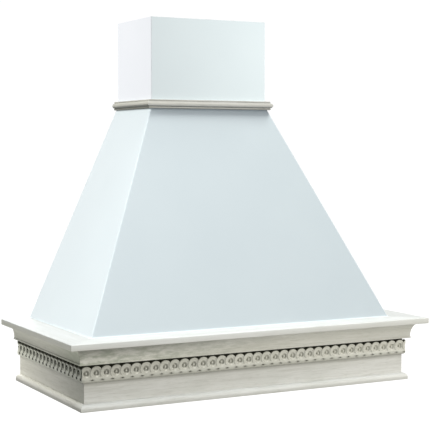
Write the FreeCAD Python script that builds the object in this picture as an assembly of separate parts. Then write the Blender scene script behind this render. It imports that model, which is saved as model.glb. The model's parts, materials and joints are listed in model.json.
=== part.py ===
"""Wall range hood: painted steel pyramid canopy and chimney cover, carved wooden cornice frame, and the working unit inside.

Millimetres. X runs along the wall, Y runs towards the wall, Z is up. The wall plane is y = 0, the lower rim is z = 0,
and the origin is the middle of the lower rim on the wall plane. The front of the hood is at negative y.
"""
import FreeCAD, Part
import math
import os

V = FreeCAD.Vector
os.makedirs("parts", exist_ok=True)

# ---------------------------------------------------------------- driving dimensions
HALF_W = 450.0          # half of the width over the ledge
DEPTH = 450.0           # wall to the ledge's front edge
FRIEZE = 405.0          # frieze board face, from the middle plane and from the wall
BOARD_T = 18.0          # frieze board thickness
LEDGE_Z0, LEDGE_Z1 = 135.5, 148.5
LEDGE_IN = 360.0        # inner edge of the ledge boards
COVE_Z0 = 99.0
COIN_Z0, COIN_Z1 = 60.0, 97.0
COIN_ZC, COIN_R, COIN_PITCH = 80.2, 16.0, 22.76
COIN_FIRST = 7.2 - 18 * COIN_PITCH   # centre of the first disc on the front run; the middle disc is 7.2 mm off the middle plane
BASE_H, BASE_P = 15.5, 11.0

CAN_BW, CAN_BD = 380.0, 384.0      # canopy foot: half width, depth
CAN_TW, CAN_TD = 155.0, 197.5      # canopy top: half width, depth
CAN_Z0, CAN_Z1 = 148.5, 640.0
SHEET = 1.5

CH_W, CH_D = 151.0, 193.0          # chimney cover: half width, front face from the wall
CH_T = 1.2
CH_Z0, CH_Z1 = 520.0, 850.0
COLLAR_Z0, COLLAR_Z1 = 640.0, 662.0
NECK_W, NECK_D = 153.0, 195.0      # outside of the neck strip, which the collar sits on
COLLAR_P = 12.5

PANEL_Z0, PANEL_T = 40.0, 1.5
FILTER_W, FILTER_D, FILTER_T = 318.0, 248.0, 8.0
FILTER_CX, FILTER_CY = 172.0, -173.0
FILTER_Z0 = 34.0
HINGE_Y, HINGE_Z, PEG_R = -50.5, 38.0, 2.0
LAMP_X, LAMP_Y = 262.0, -343.0
SWITCH_Y = -343.0
BUTTON_X = (-60.0, -30.0, 0.0, 30.0, 60.0)

SPIGOT_Y, SPIGOT_R, SPIGOT_T = -95.0, 74.5, 1.5
SPIGOT_Z0, SPIGOT_Z1 = 560.0, 625.0
AXLE_Z, AXLE_R = 566.0, 2.0
FAN_Y, FAN_Z, FAN_R = -150.0, 415.0, 80.0
HOUSE_HW, HOUSE_T = 88.0, 2.0


# ---------------------------------------------------------------- helpers
def save(name, shape):
    bad = [s for s in shape.Solids if not s.isValid() or s.Volume <= 0]
    print(f"{name:26s} solids {len(shape.Solids)} volume {shape.Volume:12.1f} valid {not bad}")
    shape.exportStep(f"parts/{name}.step")


def box(x0, x1, y0, y1, z0, z1):
    return Part.makeBox(x1 - x0, y1 - y0, z1 - z0, V(x0, y0, z0))


def cyl(r, p, d, h):
    return Part.makeCylinder(r, h, V(*p), V(*d))


def prism(points, vec):
    pts = [V(*p) for p in points]
    return Part.Face(Part.makePolygon(pts + [pts[0]])).extrude(V(*vec))


def solid_of(shape):
    """The boolean's own solid, with faces that lie in one surface merged."""
    s = shape.removeSplitter()
    return s.Solids[0] if len(s.Solids) == 1 else Part.makeCompound(s.Solids)


def hexahedron(o, i):
    """A plate between an outer quadrilateral and an inner one, corner for corner."""
    o, i = [V(*p) for p in o], [V(*p) for p in i]

    def face(*p):
        return Part.Face(Part.makePolygon(list(p) + [p[0]]))

    faces = [face(*o), face(*i)] + [face(o[k], o[(k + 1) % 4], i[(k + 1) % 4], i[k]) for k in range(4)]
    s = Part.makeSolid(Part.makeShell(faces))
    if s.Volume < 0:
        s.reverse()
    return s


def wire2d(start, segments, to3d):
    """Edges in a profile plane: ('L', end) straight, ('A', mid, end) circular arc."""
    edges, here = [], start
    for seg in segments:
        if seg[0] == "L":
            edges.append(Part.LineSegment(to3d(*here), to3d(*seg[1])).toShape())
        else:
            edges.append(Part.Arc(to3d(*here), to3d(*seg[1]), to3d(*seg[2])).toShape())
        here = seg[-1]
    return Part.Wire(edges)


def mitre(side, off=0.0):
    """Everything on one side of the 45 degree corner planes. off shifts the corner line along y."""
    if side == "front":
        pts = [(0, -off, -50), (-700, -700 - off, -50), (700, -700 - off, -50)]
    elif side == "left":
        pts = [(off, 0, -50), (-700, -700 - off, -50), (-700, 0, -50)]
    else:
        pts = [(-off, 0, -50), (700, -700 - off, -50), (700, 0, -50)]
    return prism(pts, (0, 0, 1100))


def moulding(side, start, segments, base_x, base_y, off=0.0):
    """A profile of (outward, height) run along one side of a frame and mitred at its corners."""
    if side == "front":
        face = Part.Face(wire2d(start, segments, lambda u, z: V(-600, -(base_y + u), z)))
        run = face.extrude(V(1200, 0, 0))
    elif side == "left":
        face = Part.Face(wire2d(start, segments, lambda u, z: V(-(base_x + u), -700, z)))
        run = face.extrude(V(0, 700, 0))
    else:
        face = Part.Face(wire2d(start, segments, lambda u, z: V(base_x + u, -700, z)))
        run = face.extrude(V(0, 700, 0))
    return solid_of(run.common(mitre(side, off)))


SIDES = ("front", "left", "right")

# ---------------------------------------------------------------- wooden cornice frame
for side in SIDES:
    # flat ledge board with eased outer edges
    u_in, u_out = LEDGE_IN - FRIEZE, HALF_W - FRIEZE
    k = 1.6 * (1 - math.sqrt(0.5))
    save("ledge_" + side, moulding(side, (u_in, LEDGE_Z0), [
        ("L", (u_out - 1.6, LEDGE_Z0)), ("A", (u_out - k, LEDGE_Z0 + k), (u_out, LEDGE_Z0 + 1.6)),
        ("L", (u_out, LEDGE_Z1 - 1.6)), ("A", (u_out - k, LEDGE_Z1 - k), (u_out - 1.6, LEDGE_Z1)),
        ("L", (u_in, LEDGE_Z1)), ("L", (u_in, LEDGE_Z0))], FRIEZE, FRIEZE))
    # cove (cavetto) moulding with a small lip at its foot
    save("cove_moulding_" + side, moulding(side, (0, COVE_Z0), [
        ("L", (14.5, COVE_Z0)), ("L", (14.5, COVE_Z0 + 4.5)), ("A", (18.6, 125.0), (31.0, LEDGE_Z0)),
        ("L", (0, LEDGE_Z0)), ("L", (0, COVE_Z0))], FRIEZE, FRIEZE))
    # frieze board
    save("frieze_board_" + side, moulding(side, (-BOARD_T, 0), [
        ("L", (0, 0)), ("L", (0, LEDGE_Z0)), ("L", (-BOARD_T, LEDGE_Z0)), ("L", (-BOARD_T, 0))], FRIEZE, FRIEZE))
    # rounded base moulding
    save("base_moulding_" + side, moulding(side, (0, 0), [
        ("L", (BASE_P - 2.0, 0)), ("A", (BASE_P - 0.586, 0.586), (BASE_P, 2.0)), ("L", (BASE_P, 6.0)),
        ("A", (8.2, 12.7), (2.0, BASE_H)), ("L", (0, BASE_H)), ("L", (0, 0))], FRIEZE, FRIEZE))


def coin_moulding(side):
    """Backing strip with a run of overlapping discs, each with a boss, cut at the mitres."""
    count = 37
    half = COIN_PITCH / 2
    dz = math.sqrt(COIN_R ** 2 - half ** 2)
    xs = [COIN_FIRST + COIN_PITCH * k for k in range(count + 1)]
    x0, x1 = xs[0] - half, xs[-1] + half
    u0, u1, ub = 3.0, 7.2, 8.4

    def p(x, z, u):
        if side == "front":
            return V(x, -(FRIEZE + u), z)
        y = COIN_FIRST - 4.0 - x                    # the disc next to the wall has its centre 4 mm from it
        return V(-(FRIEZE + u), y, z) if side == "left" else V(FRIEZE + u, y, z)

    edges = []
    for x in xs:                                    # upper scallops
        edges.append(Part.Arc(p(x - half, COIN_ZC + dz, u0), p(x, COIN_ZC + COIN_R, u0), p(x + half, COIN_ZC + dz, u0)).toShape())
    edges.append(Part.LineSegment(p(x1, COIN_ZC + dz, u0), p(x1, COIN_ZC - dz, u0)).toShape())
    for x in reversed(xs):                          # lower scallops
        edges.append(Part.Arc(p(x + half, COIN_ZC - dz, u0), p(x, COIN_ZC - COIN_R, u0), p(x - half, COIN_ZC - dz, u0)).toShape())
    edges.append(Part.LineSegment(p(x0, COIN_ZC - dz, u0), p(x0, COIN_ZC + dz, u0)).toShape())
    out = p(0, 0, 1) - p(0, 0, 0)
    relief = Part.Face(Part.Wire(edges)).extrude(out * (u1 - u0))
    strip = moulding(side, (0, COIN_Z0), [("L", (u0, COIN_Z0)), ("L", (u0, COIN_Z1)), ("L", (0, COIN_Z1)), ("L", (0, COIN_Z0))], FRIEZE, FRIEZE)
    bosses = [Part.makeCylinder(3.2, ub - u1, p(x, COIN_ZC, u1), out) for x in xs]
    relief = relief.fuse(bosses).common(mitre(side))
    return solid_of(strip.fuse(relief))


for side in SIDES:
    save("coin_moulding_" + side, coin_moulding(side))

inner = FRIEZE - BOARD_T                            # 387: inside face of the frieze boards
RAIL_T, RAIL_H = 20.0, 135.5
rail = box(-inner, inner, -RAIL_T, 0, 0, RAIL_H)
for x in (-300.0, 300.0):                           # lower wall screws
    rail = rail.cut(cyl(3.0, (x, -30, 62), (0, 1, 0), 40))
save("rear_rail", solid_of(rail))

B = 24.0
blocks = []
for sx in (-1, 1):
    for y0 in (-inner, -RAIL_T - B):
        xa, xb = sorted((sx * inner, sx * (inner - B)))
        blocks.append(box(xa, xb, y0, y0 + B, PANEL_Z0 + PANEL_T, 130.0))
save("corner_blocks", Part.makeCompound(blocks))


def screw(p, d, length, r=1.75, head_r=3.6, head_h=2.2):
    """Pan head with its flat on p, shank along d."""
    d = V(*d)
    shank = Part.makeCylinder(r, length, V(*p), d)
    head = Part.makeCylinder(head_r, head_h, V(*p) - d * head_h, d)
    return shank.fuse(head).removeSplitter().Solids[0]


frame_screws = []
for sx in (-1, 1):
    for z in (70.0, 108.0):
        frame_screws.append(screw((sx * (inner - B), -inner + 8, z), (sx, 0, 0), 36))
        frame_screws.append(screw((sx * (inner - 8), -inner + B, z - 14), (0, -1, 0), 36))
        frame_screws.append(screw((sx * (inner - B), -RAIL_T - 8, z), (sx, 0, 0), 36))
    frame_screws.append(screw((sx * (inner - 12), -RAIL_T - B, 66.0), (0, 1, 0), 38))
save("frame_screws", Part.makeCompound(frame_screws))

# ---------------------------------------------------------------- canopy
dzc = CAN_Z1 - CAN_Z0
tx = SHEET * math.hypot(1, (CAN_BW - CAN_TW) / dzc)
ty = SHEET * math.hypot(1, (CAN_BD - CAN_TD) / dzc)


def can_half_w(z):
    return CAN_BW - (CAN_BW - CAN_TW) * (z - CAN_Z0) / dzc


def can_depth(z):
    return CAN_BD - (CAN_BD - CAN_TD) * (z - CAN_Z0) / dzc


def ring(w, d, z):
    return (-w, -d, z), (w, -d, z), (w, 0, z), (-w, 0, z)


ob, ot = ring(CAN_BW, CAN_BD, CAN_Z0), ring(CAN_TW, CAN_TD, CAN_Z1)
ib, it = ring(CAN_BW - tx, CAN_BD - ty, CAN_Z0), ring(CAN_TW - tx, CAN_TD - ty, CAN_Z1)
save("canopy_front_sheet", hexahedron([ob[0], ob[1], ot[1], ot[0]], [ib[0], ib[1], it[1], it[0]]))
save("canopy_right_sheet", hexahedron([ob[1], ob[2], ot[2], ot[1]], [ib[1], ib[2], it[2], it[1]]))
save("canopy_left_sheet", hexahedron([ob[3], ob[0], ot[0], ot[3]], [ib[3], ib[0], it[0], it[3]]))

BACK_T = 1.5
HANG_X, HANG_Z, HANG_R = 160.0, 470.0, 4.0
back = prism([(-359, 0, RAIL_H), (359, 0, RAIL_H), (359, 0, CAN_Z0), (CAN_BW - tx, 0, CAN_Z0), (CAN_TW - tx, 0, CAN_Z1),
              (-CAN_TW + tx, 0, CAN_Z1), (-CAN_BW + tx, 0, CAN_Z0), (-359, 0, CAN_Z0)], (0, -BACK_T, 0))
for x in (-HANG_X, HANG_X):
    back = back.cut(cyl(HANG_R, (x, -10, HANG_Z), (0, 1, 0), 20))
save("canopy_back_plate", solid_of(back))

# foot strip: welded inside the sheets, screwed down on the ledge
FOOT_T, FOOT_W = 1.5, 17.0
zf = CAN_Z0 + FOOT_T
wo, do = can_half_w(zf) - tx - 0.3, can_depth(zf) - ty - 0.3
wi, di = CAN_BW - FOOT_W - 1.0, CAN_BD - FOOT_W - 1.0
foot = prism([(-wo, -2, CAN_Z0), (-wo, -do, CAN_Z0), (wo, -do, CAN_Z0), (wo, -2, CAN_Z0), (wi, -2, CAN_Z0), (wi, -di, CAN_Z0),
              (-wi, -di, CAN_Z0), (-wi, -2, CAN_Z0)], (0, 0, FOOT_T))
save("canopy_foot_strip", foot)

# neck strip: three sides, carries the collar moulding
n_in_w, n_in_d = NECK_W - SHEET, NECK_D - SHEET
neck = prism([(-NECK_W, -2, 622), (-NECK_W, -NECK_D, 622), (NECK_W, -NECK_D, 622), (NECK_W, -2, 622), (n_in_w, -2, 622),
              (n_in_w, -n_in_d, 622), (-n_in_w, -n_in_d, 622), (-n_in_w, -2, 622)], (0, 0, 39))
save("neck_strip", neck)

for side in SIDES:
    # collar moulding: half round between two small beads
    save("collar_moulding_" + side, moulding(side, (0, COLLAR_Z0), [
        ("L", (6.0, COLLAR_Z0)), ("A", (7.9, 642.2), (6.0, 644.4)), ("A", (COLLAR_P, 651.0), (6.0, 657.6)),
        ("A", (7.9, 659.8), (6.0, COLLAR_Z1)), ("L", (0, COLLAR_Z1)), ("L", (0, COLLAR_Z0))],
        NECK_W, NECK_D, NECK_D - NECK_W))

# ---------------------------------------------------------------- chimney cover
LIP = 15.0
yo, yr = -CH_D, -1.9
ci, cfi = CH_W - CH_T, CH_D - CH_T
chim = prism([(-CH_W, yr, CH_Z0), (-CH_W, yo, CH_Z0), (CH_W, yo, CH_Z0), (CH_W, yr, CH_Z0), (CH_W - LIP, yr, CH_Z0), (CH_W - LIP, yr - CH_T, CH_Z0),
              (ci, yr - CH_T, CH_Z0), (ci, -cfi, CH_Z0), (-ci, -cfi, CH_Z0), (-ci, yr - CH_T, CH_Z0), (-CH_W + LIP, yr - CH_T, CH_Z0),
              (-CH_W + LIP, yr, CH_Z0)], (0, 0, CH_Z1 - CH_Z0))
save("chimney_cover", chim)
BR_Z0, BR_Z1, BR_Y = 812.0, 842.0, yr - CH_T
bracket = box(-149.0, 149.0, BR_Y - 1.6, BR_Y, BR_Z0, BR_Z1)
for x in (-100.0, 100.0):
    bracket = bracket.cut(cyl(3.0, (x, -10, 827), (0, 1, 0), 20))
save("chimney_wall_bracket", solid_of(bracket))
save("chimney_screws", Part.makeCompound([screw((sx * 143.0, BR_Y - 1.6, 827.0), (0, 1, 0), 2.7, 1.6, 3.2, 1.8) for sx in (-1, 1)]))

# ---------------------------------------------------------------- blower
S1, R1 = 9.0, 100.0
# scroll: three quarter turns of growing radius, from the cut-off at the top round the front and under to the rear, then straight up
cy, cz = FAN_Y, FAN_Z


def scroll_face(shrink, x, top):
    r1, r2, r3 = R1 - shrink, R1 + S1 - shrink, R1 + 2 * S1 - shrink
    c1, c2, c3 = (cy, cz), (cy + S1, cz), (cy + S1, cz + S1)

    def on(c, r, deg):
        a = math.radians(deg)
        return V(x, c[0] + r * math.cos(a), c[1] + r * math.sin(a))

    e = [Part.Arc(on(c1, r1, 90), on(c1, r1, 135), on(c1, r1, 180)).toShape(),
         Part.Arc(on(c2, r2, 180), on(c2, r2, 225), on(c2, r2, 270)).toShape(),
         Part.Arc(on(c3, r3, 270), on(c3, r3, 315), on(c3, r3, 360)).toShape()]
    rear = on(c3, r3, 360)
    start = on(c1, r1, 90)
    y_in = start.y + shrink
    e += [Part.LineSegment(rear, V(x, rear.y, top)).toShape(), Part.LineSegment(V(x, rear.y, top), V(x, y_in, top)).toShape()]
    if shrink:
        e += [Part.LineSegment(V(x, y_in, top), V(x, y_in, start.z)).toShape(), Part.LineSegment(V(x, y_in, start.z), start).toShape()]
    else:
        e += [Part.LineSegment(V(x, y_in, top), start).toShape()]
    return Part.Face(Part.Wire(e))


outer = scroll_face(0.0, -HOUSE_HW, SPIGOT_Z0).extrude(V(2 * HOUSE_HW, 0, 0))
hollow = scroll_face(HOUSE_T, -HOUSE_HW + HOUSE_T, SPIGOT_Z0 + 5).extrude(V(2 * (HOUSE_HW - HOUSE_T), 0, 0))
housing = outer.cut(hollow)
INLET_R = 64.0
housing = housing.cut(cyl(INLET_R, (-HOUSE_HW - 5, cy, cz), (1, 0, 0), 2 * HOUSE_HW + 10))
save("blower_housing", solid_of(housing))

# motor: case in the left inlet, three arms to the housing's side
motor = cyl(40.0, (-HOUSE_HW - 3.0, cy, cz), (1, 0, 0), 86.0)
arms = []
for k in range(3):
    a = math.radians(30 + 120 * k)
    arm = box(-HOUSE_HW - 3.0, -HOUSE_HW - 0.0, 30.0, 74.0, -7.0, 7.0)
    arm.rotate(V(0, 0, 0), V(1, 0, 0), math.degrees(a))
    arm.translate(V(0, cy, cz))
    arms.append(arm)
motor = motor.fuse(arms).cut(cyl(4.05, (-60, cy, cz), (1, 0, 0), 80))
save("blower_motor", solid_of(motor))

# impeller: centre disc, hub and shaft, blades between two end rings
N_BLADES = 32
disc = cyl(FAN_R, (6, 0, 0), (1, 0, 0), 2.5).cut(cyl(3.0, (0, 0, 0), (1, 0, 0), 20))
hub = cyl(13.0, (2, 0, 0), (1, 0, 0), 18.0)
shaft = cyl(4.0, (-50, 0, 0), (1, 0, 0), 66.0)
wheel = disc.fuse([hub, shaft])
for x in (-75.0, 72.5):
    wheel = wheel.fuse(cyl(FAN_R, (x, 0, 0), (1, 0, 0), 2.5).cut(cyl(67.0, (x - 1, 0, 0), (1, 0, 0), 5)))
blades = []
for k in range(N_BLADES):
    blade = box(-74.0, 74.0, 67.6, 79.4, -0.6, 0.6)
    blade.rotate(V(0, 73.5, 0), V(1, 0, 0), 28)
    blade.rotate(V(0, 0, 0), V(1, 0, 0), 360.0 * k / N_BLADES)
    blades.append(blade)
wheel = wheel.fuse(blades)
wheel.translate(V(0, cy, cz))
save("impeller", solid_of(wheel))

# outlet spigot with its damper
fl = box(-92, 92, SPIGOT_Y - 82, SPIGOT_Y + 82, SPIGOT_Z0, SPIGOT_Z0 + 2)
tube = cyl(SPIGOT_R, (0, SPIGOT_Y, SPIGOT_Z0), (0, 0, 1), SPIGOT_Z1 - SPIGOT_Z0)
spigot = fl.fuse(tube).cut(cyl(SPIGOT_R - SPIGOT_T, (0, SPIGOT_Y, SPIGOT_Z0 - 1), (0, 0, 1), 100))
stop = cyl(SPIGOT_R - 0.5, (0, SPIGOT_Y, AXLE_Z - 3.0), (0, 0, 1), 2.2).cut(cyl(68.5, (0, SPIGOT_Y, AXLE_Z - 5), (0, 0, 1), 8))
stop = stop.cut(box(-6, 6, SPIGOT_Y - 90, SPIGOT_Y + 90, AXLE_Z - 5, AXLE_Z + 5))
spigot = spigot.fuse(stop)
save("outlet_spigot", solid_of(spigot))
save("damper_axle", cyl(AXLE_R, (0, SPIGOT_Y - 73.9, AXLE_Z), (0, 1, 0), 147.8))


def flap(sx):
    """Half disc on its own sleeves round the axle."""
    r = 71.8
    plate = cyl(r, (0, SPIGOT_Y, AXLE_Z - 0.5), (0, 0, 1), 1.0)
    plate = plate.common(box(4.6, 90, SPIGOT_Y - 90, SPIGOT_Y + 90, AXLE_Z - 5, AXLE_Z + 5))
    spans = [(-62, -22), (22, 62)] if sx < 0 else [(-21.5, 21.5)]
    parts = []
    for a, b in spans:
        parts.append(cyl(4.0, (0, SPIGOT_Y + a, AXLE_Z), (0, 1, 0), b - a))
        parts.append(box(2.6, 6.0, SPIGOT_Y + a, SPIGOT_Y + b, AXLE_Z - 0.5, AXLE_Z + 0.5))
    f = plate.fuse(parts)
    f = f.cut(cyl(AXLE_R + 0.05, (0, SPIGOT_Y - 80, AXLE_Z), (0, 1, 0), 160))
    if sx < 0:
        f = f.mirror(V(0, 0, 0), V(1, 0, 0))
    return solid_of(f)


save("damper_flap_left", flap(-1))
save("damper_flap_right", flap(1))

# hat bracket on the back plate, rubber bushes between it and the scroll's flat rear wall
rear_y = cy + S1 + R1 + 2 * S1
web_y = rear_y + 8.0
hat = prism([(-70, -BACK_T, 405), (-70, -BACK_T - 1.5, 405), (-70, -BACK_T - 1.5, 423.5), (-70, web_y, 423.5), (-70, web_y, 516.5), (-70, -BACK_T - 1.5, 516.5),
             (-70, -BACK_T - 1.5, 535), (-70, -BACK_T, 535), (-70, -BACK_T, 515), (-70, web_y + 1.5, 515), (-70, web_y + 1.5, 425), (-70, -BACK_T, 425)], (140, 0, 0))
save("blower_bracket", hat)
save("vibration_bushes", Part.makeCompound([cyl(9.0, (x, rear_y, z), (0, 1, 0), web_y - rear_y) for x in (-50, 50) for z in (446, 496)]))

# terminal box with its lid and the mains cable's gland
TB = (104.0, 176.0, -41.5, -BACK_T, 300.0, 370.0)
tb = box(*TB).cut(box(TB[0] + 2, TB[1] - 2, TB[2] - 1, TB[3] - 2, TB[4] + 2, TB[5] - 2))
tb = tb.cut(cyl(6.0, (140, -21, 360), (0, 0, 1), 20))
save("terminal_box", solid_of(tb))
save("terminal_box_lid", box(TB[0], TB[1], TB[2] - 2.0, TB[2], TB[4], TB[5]))
gland = cyl(9.0, (140, -21, TB[5]), (0, 0, 1), 22.0).fuse(cyl(5.8, (140, -21, TB[5] - 3.0), (0, 0, 1), 10.0))
gland = gland.cut(cyl(3.6, (140, -21, TB[5] - 5), (0, 0, 1), 40))
save("cable_gland", solid_of(gland))

# ---------------------------------------------------------------- underside
PZ0, PZ1 = PANEL_Z0, PANEL_Z0 + PANEL_T
panel = box(-inner + 0.5, inner - 0.5, -inner + 0.5, -RAIL_T - 0.5, PZ0, PZ1)
for sx in (-1, 1):
    panel = panel.cut(box(sx * FILTER_CX - FILTER_W / 2 - 1, sx * FILTER_CX + FILTER_W / 2 + 1,
                          FILTER_CY - FILTER_D / 2 - 1, FILTER_CY + FILTER_D / 2 + 1, PZ0 - 1, PZ1 + 1))
    panel = panel.cut(cyl(31.0, (sx * LAMP_X, LAMP_Y, PZ0 - 1), (0, 0, 1), 5))
panel = panel.cut(box(-79.5, 79.5, SWITCH_Y - 13.5, SWITCH_Y + 13.5, PZ0 - 1, PZ1 + 1))
lugs = []
for sx in (-1, 1):
    for e in (-1, 1):
        xa = sx * FILTER_CX + e * (FILTER_W / 2 + 1.3)
        xb = xa + e * 2.0
        lug = box(min(xa, xb), max(xa, xb), HINGE_Y - 5.0, HINGE_Y + 5.0, HINGE_Z - 4.5, PZ0)
        lugs.append(lug.cut(cyl(PEG_R + 0.05, (min(xa, xb) - 1, HINGE_Y, HINGE_Z), (1, 0, 0), 5)))
panel = panel.fuse(lugs)
save("bottom_panel", solid_of(panel))

BAR = 14.0
for sx, tag in ((-1, "left"), (1, "right")):
    fx = sx * FILTER_CX
    xa, xb = fx - FILTER_W / 2, fx + FILTER_W / 2
    ya, yb = FILTER_CY - FILTER_D / 2, FILTER_CY + FILTER_D / 2
    z0, z1 = FILTER_Z0, FILTER_Z0 + FILTER_T
    fr = box(xa, xb, ya, yb, z0, z1).cut(box(xa + BAR, xb - BAR, ya + BAR, yb - BAR, z0 - 1, z1 + 1))
    pegs = [cyl(PEG_R, (xa - 3.1, HINGE_Y, HINGE_Z), (1, 0, 0), 6.0), cyl(PEG_R, (xb - 2.9, HINGE_Y, HINGE_Z), (1, 0, 0), 6.0)]
    guides = [box(fx - 27, fx - 21.3, ya + 2, ya + BAR - 1, z0 - 4.0, z0), box(fx + 21.3, fx + 27, ya + 2, ya + BAR - 1, z0 - 4.0, z0)]
    save(f"filter_{tag}_frame", solid_of(fr.fuse(pegs + guides)))
    save(f"filter_{tag}_mesh", box(xa + BAR, xb - BAR, ya + BAR, yb - BAR, z0 + 3.2, z0 + 4.8))
    latch = box(fx - 21, fx + 21, ya + 0.6, ya + 7.4, z0 - 3.2, z0 - 0.3).fuse(box(fx - 12, fx + 12, ya + 1.6, ya + 6.4, z0 - 6.0, z0 - 3.2))
    save(f"filter_{tag}_latch", solid_of(latch))
    lx = sx * LAMP_X
    body = cyl(30.6, (lx, LAMP_Y, PZ0 - 2.5), (0, 0, 1), 34.0).fuse(cyl(36.0, (lx, LAMP_Y, PZ0 - 2.5), (0, 0, 1), 2.5))
    body = body.cut(cyl(26.0, (lx, LAMP_Y, PZ0 - 3.5), (0, 0, 1), 27.0)).cut(cyl(28.0, (lx, LAMP_Y, PZ0 - 3.5), (0, 0, 1), 4.0))
    save(f"lamp_{tag}_body", solid_of(body))
    save(f"lamp_{tag}_lens", cyl(28.0, (lx, LAMP_Y, PZ0 - 2.0), (0, 0, 1), 2.5))

sw = box(-79, 79, SWITCH_Y - 13, SWITCH_Y + 13, PZ0 - 1.5, 66).fuse(box(-85, 85, SWITCH_Y - 18, SWITCH_Y + 18, PZ0 - 1.5, PZ0))
for x in BUTTON_X:
    sw = sw.cut(box(x - 11.3, x + 11.3, SWITCH_Y - 7.3, SWITCH_Y + 7.3, PZ0 - 5, 62))
save("switch_box", solid_of(sw))
for name, x in zip(("button_light", "button_off", "button_speed_1", "button_speed_2", "button_speed_3"), BUTTON_X):
    b = box(x - 11, x + 11, SWITCH_Y - 7, SWITCH_Y + 7, PZ0 - 5.0, 54)
    low = [e for e in b.Edges if abs(e.BoundBox.ZMax - (PZ0 - 5.0)) < 1e-6]
    save(name, b.makeFillet(1.2, low))

# sheet metal screws: foot strip to ledge, panel to corner blocks, hat bracket and terminal box to back plate, spigot to scroll
sheet_screws = []
for x in (-300, -100, 100, 300):
    sheet_screws.append(screw((x, -(CAN_BD - 11), zf), (0, 0, -1), 11))
for sx in (-1, 1):
    for y in (-290, -170, -50):
        sheet_screws.append(screw((sx * (CAN_BW - 11), y, zf), (0, 0, -1), 11))
    for y in (-inner + 12, -RAIL_T - 12):
        sheet_screws.append(screw((sx * (inner - 12), y, PZ0), (0, 0, 1), 16))
    for z in (414, 526):
        sheet_screws.append(screw((sx * 40, -BACK_T - 1.5, z), (0, 1, 0), 2.9, 1.75, 3.6, 2.0))
save("sheet_screws", Part.makeCompound(sheet_screws))
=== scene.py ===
"""Looks for the wall range hood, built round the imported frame. Metres, same frame as the CAD; helper sizes are in millimetres."""
import json
import math
import bpy
import bmesh
from mathutils import Matrix, Vector


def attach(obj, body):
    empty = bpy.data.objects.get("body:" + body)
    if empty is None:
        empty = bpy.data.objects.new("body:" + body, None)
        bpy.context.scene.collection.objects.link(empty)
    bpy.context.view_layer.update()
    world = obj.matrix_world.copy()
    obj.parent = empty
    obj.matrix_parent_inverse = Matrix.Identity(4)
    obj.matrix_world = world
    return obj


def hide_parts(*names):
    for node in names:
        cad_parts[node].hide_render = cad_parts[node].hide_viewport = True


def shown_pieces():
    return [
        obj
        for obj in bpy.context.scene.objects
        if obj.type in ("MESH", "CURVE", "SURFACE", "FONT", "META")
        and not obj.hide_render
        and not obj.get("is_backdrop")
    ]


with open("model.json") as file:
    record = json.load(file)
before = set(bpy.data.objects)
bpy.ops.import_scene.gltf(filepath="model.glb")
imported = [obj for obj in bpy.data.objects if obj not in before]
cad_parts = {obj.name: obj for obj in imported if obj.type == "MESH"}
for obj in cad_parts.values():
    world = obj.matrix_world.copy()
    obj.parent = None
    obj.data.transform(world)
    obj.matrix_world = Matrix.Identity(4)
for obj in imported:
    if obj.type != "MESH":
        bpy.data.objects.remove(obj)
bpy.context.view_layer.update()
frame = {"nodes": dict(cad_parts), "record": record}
NODES = frame["nodes"]
SC = bpy.context.scene
MM = 0.001
PITCH, COIN_R, COIN_Z, PIT_Z = 22.76, 16.0, 80.2, 65.6  # coin moulding: spacing, radius, height of the coins and of the punch marks
COIN_START = {"X": 7.2, "Y": -4.0}  # where one of the coins has its centre, along the front and along a side
PIT_SHIFT = {"X": 2.4, "Y": 0.0}


# ------------------------------------------------------------------ node helpers
def put(nt, socket, value):
    if isinstance(value, bpy.types.NodeSocket):
        nt.links.new(value, socket)
    elif isinstance(value, (tuple, list)) and socket.type == "RGBA" and len(value) == 3:
        socket.default_value = (*value, 1.0)
    else:
        socket.default_value = value


def mix(nt, fac, a, b, blend="MIX"):
    n = nt.nodes.new("ShaderNodeMix")
    n.data_type, n.blend_type, n.clamp_factor = "RGBA", blend, True
    put(nt, n.inputs[0], fac)
    put(nt, n.inputs[6], a)
    put(nt, n.inputs[7], b)
    return n.outputs[2]


def math_(nt, op, a, b=0.0, clamp=False):
    n = nt.nodes.new("ShaderNodeMath")
    n.operation, n.use_clamp = op, clamp
    put(nt, n.inputs[0], a)
    put(nt, n.inputs[1], b)
    return n.outputs[0]


def remap(nt, v, lo, hi, a=0.0, b=1.0, smooth=False):
    n = nt.nodes.new("ShaderNodeMapRange")
    n.clamp = True
    if smooth:
        n.interpolation_type = "SMOOTHSTEP"
    for i, x in enumerate((v, lo, hi, a, b)):
        put(nt, n.inputs[i], x)
    return n.outputs[0]


def hypot(nt, a, b):
    return math_(nt, "SQRT", math_(nt, "ADD", math_(nt, "MULTIPLY", a, a), math_(nt, "MULTIPLY", b, b)))


def coords(nt):
    return nt.nodes.new("ShaderNodeTexCoord").outputs["Object"]


def scale(nt, vec, s, loc=(0, 0, 0)):
    n = nt.nodes.new("ShaderNodeMapping")
    put(nt, n.inputs["Vector"], vec)
    n.inputs["Scale"].default_value = s
    n.inputs["Location"].default_value = loc
    return n.outputs[0]


def noise(nt, vec, s, detail=2.0, rough=0.5, dist=0.0):
    n = nt.nodes.new("ShaderNodeTexNoise")
    put(nt, n.inputs["Vector"], vec)
    n.inputs["Scale"].default_value = s
    n.inputs["Detail"].default_value = detail
    n.inputs["Roughness"].default_value = rough
    n.inputs["Distortion"].default_value = dist
    return n.outputs[0]


def bump(nt, height, strength, distance, normal=None):
    n = nt.nodes.new("ShaderNodeBump")
    put(nt, n.inputs["Height"], height)
    n.inputs["Strength"].default_value = strength
    n.inputs["Distance"].default_value = distance
    if normal is not None:
        put(nt, n.inputs["Normal"], normal)
    return n.outputs[0]


def occlusion(nt, distance, samples=8):
    n = nt.nodes.new("ShaderNodeAmbientOcclusion")
    n.samples = samples
    n.inputs["Distance"].default_value = distance
    return n.outputs["AO"]


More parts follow.
